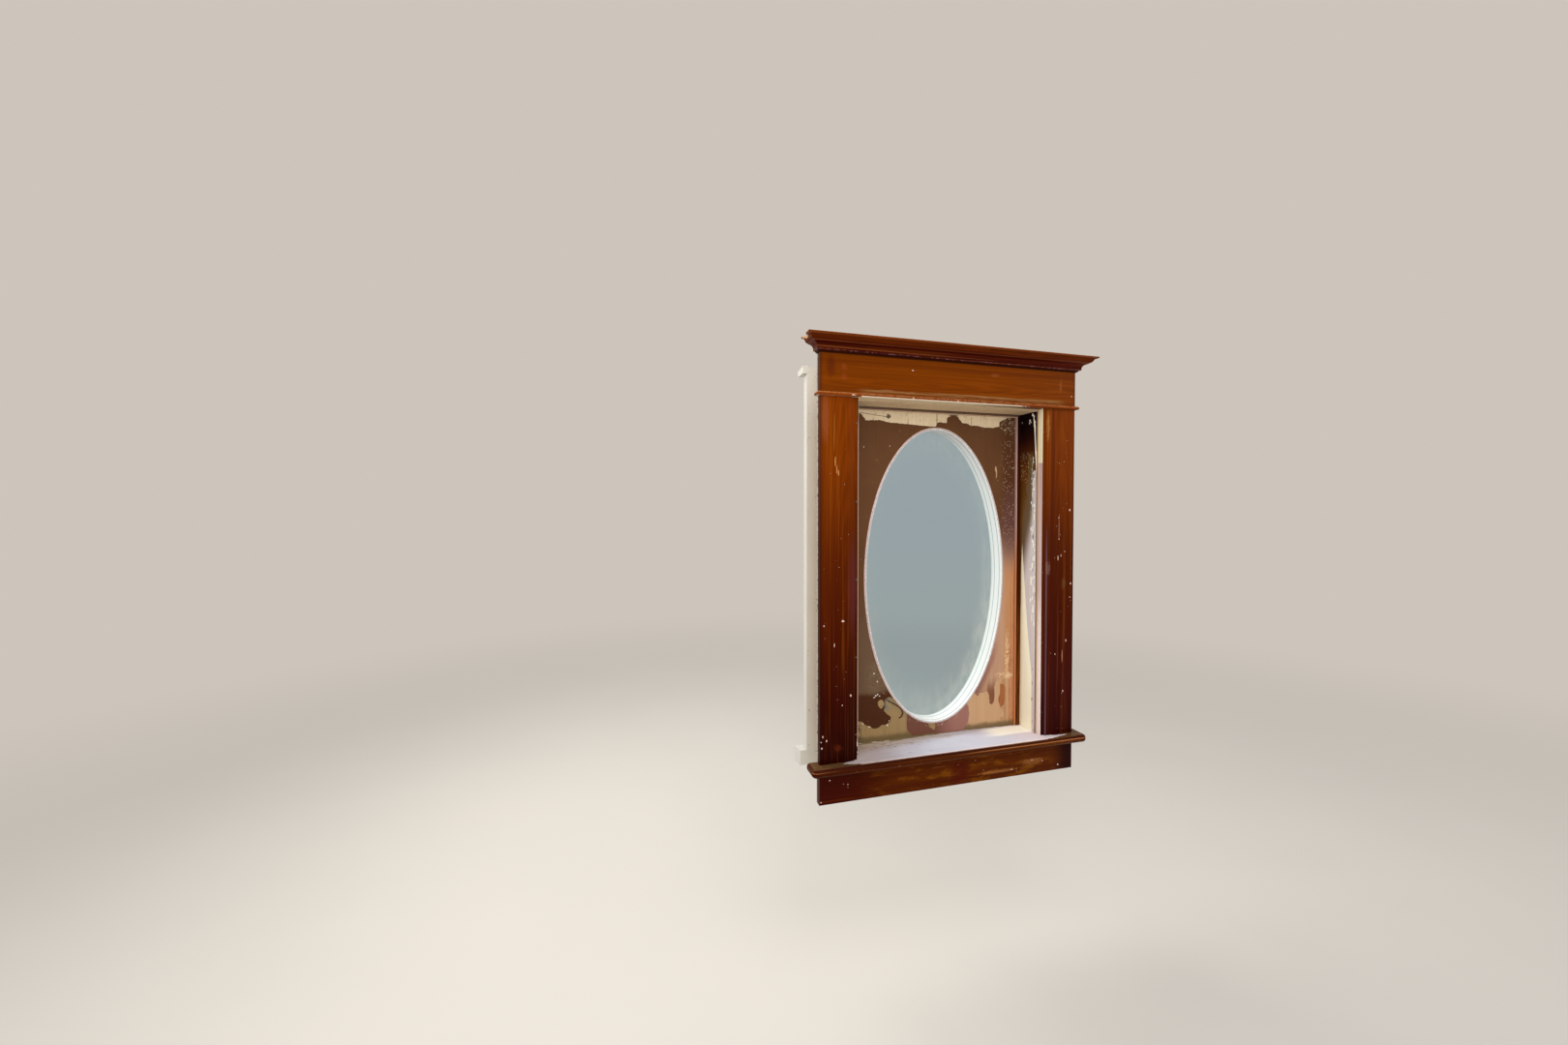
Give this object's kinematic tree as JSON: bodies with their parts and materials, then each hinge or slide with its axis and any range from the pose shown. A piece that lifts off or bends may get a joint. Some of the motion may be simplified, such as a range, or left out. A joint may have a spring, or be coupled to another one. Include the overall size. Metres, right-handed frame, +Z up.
{
  "type": "oval window",
  "caption": "Fixed oval light in a rectangular board sash, with its jambs, stops, sloped sill, outer trim, and stained room side casing, stool, apron and moulded crown.",
  "frame": {"origin": "on the wall's room face, halfway along the window, at the underside of the stool, which is the top edge of the apron's back", "axes": "+X along the wall to the right as seen from the room, +Y from the room to the outside, +Z up"},
  "size_m": [0.922, 0.272, 1.263],
  "materials": {
    "varnished_trim": "dark stain under a worn gloss varnish, with grain",
    "stool_board": "worn pale paint on the top, dark varnish on the nose",
    "painted_frame": "peeling brown and white paint over old varnish",
    "painted_sash": "peeling chocolate brown paint with bare wood showing",
    "white_bead": "white gloss paint, worn",
    "outer_paint": "plain white oil paint",
    "bare_wood": "unfinished softwood",
    "glass": "clear, smooth",
    "putty": "hard linseed putty, painted",
    "nail_steel": "dull wire nails"
  },
  "bodies": {
    "root": {"crown_front": "varnished_trim", "crown_left_return": "varnished_trim", "crown_right_return": "varnished_trim", "frieze_board": "varnished_trim", "head_bead": "varnished_trim", "left_side_casing": "varnished_trim", "right_side_casing": "varnished_trim", "stool": "stool_board", "apron": "varnished_trim", "left_jamb": "painted_frame", "right_jamb": "painted_frame", "head_jamb": "painted_frame", "sill": "outer_paint", "left_inner_stop": "painted_frame", "right_inner_stop": "painted_frame", "head_inner_stop": "painted_frame", "left_outer_casing": "outer_paint", "right_outer_casing": "outer_paint", "head_outer_casing": "outer_paint", "drip_cap": "outer_paint", "left_sash_half": "painted_sash", "right_sash_half": "painted_sash", "top_spline": "bare_wood", "bottom_spline": "bare_wood", "left_oval_bead": "white_bead", "right_oval_bead": "white_bead", "glass_pane": "glass", "glazing_putty": "putty", "glazing_points": "nail_steel", "casing_nails": "nail_steel", "stop_brads": "nail_steel", "frame_nails": "nail_steel"}
  },
  "joints": []
}
